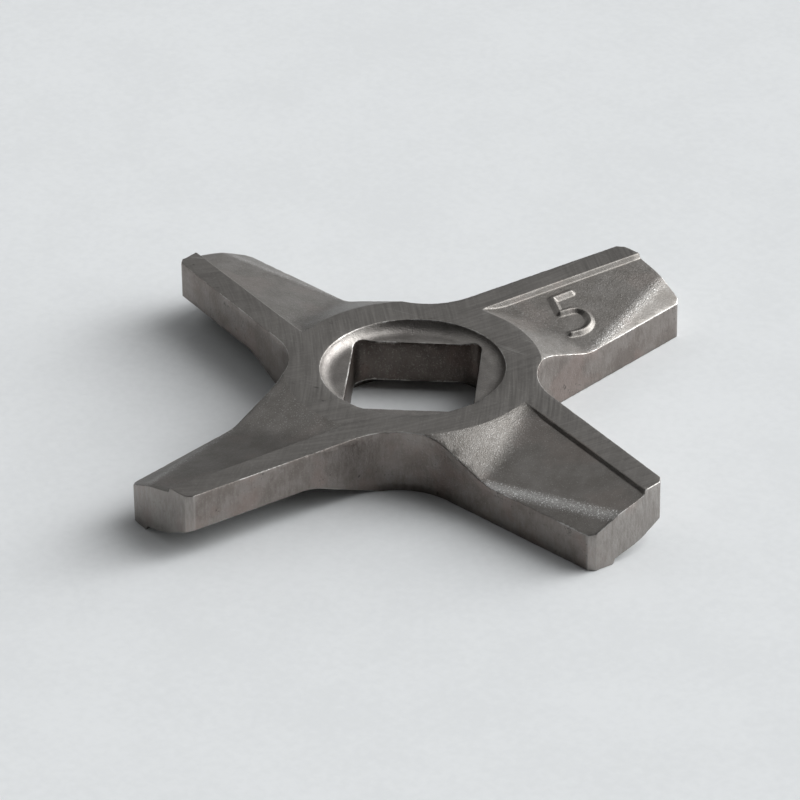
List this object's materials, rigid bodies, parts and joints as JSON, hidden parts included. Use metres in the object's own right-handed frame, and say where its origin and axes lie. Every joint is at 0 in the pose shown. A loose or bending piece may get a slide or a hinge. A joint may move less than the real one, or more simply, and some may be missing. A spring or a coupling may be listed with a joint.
{
  "type": "meat grinder knife",
  "caption": "Star-shaped grinder knife with flat cutting lands on both faces, pockets falling away behind them, and a square drive hole in a dished hub.",
  "frame": {"origin": "centre of the drive hole in the plane of the lower ground face", "axes": "+Z along the axis of rotation out of the upper ground face, +X and +Y each along the middle of an arm"},
  "size_m": [0.047, 0.047, 0.0049],
  "materials": {
    "steel": "pressed and sintered steel with ground faces, dull dark grey"
  },
  "bodies": {
    "root": {"knife": "steel"}
  },
  "joints": []
}
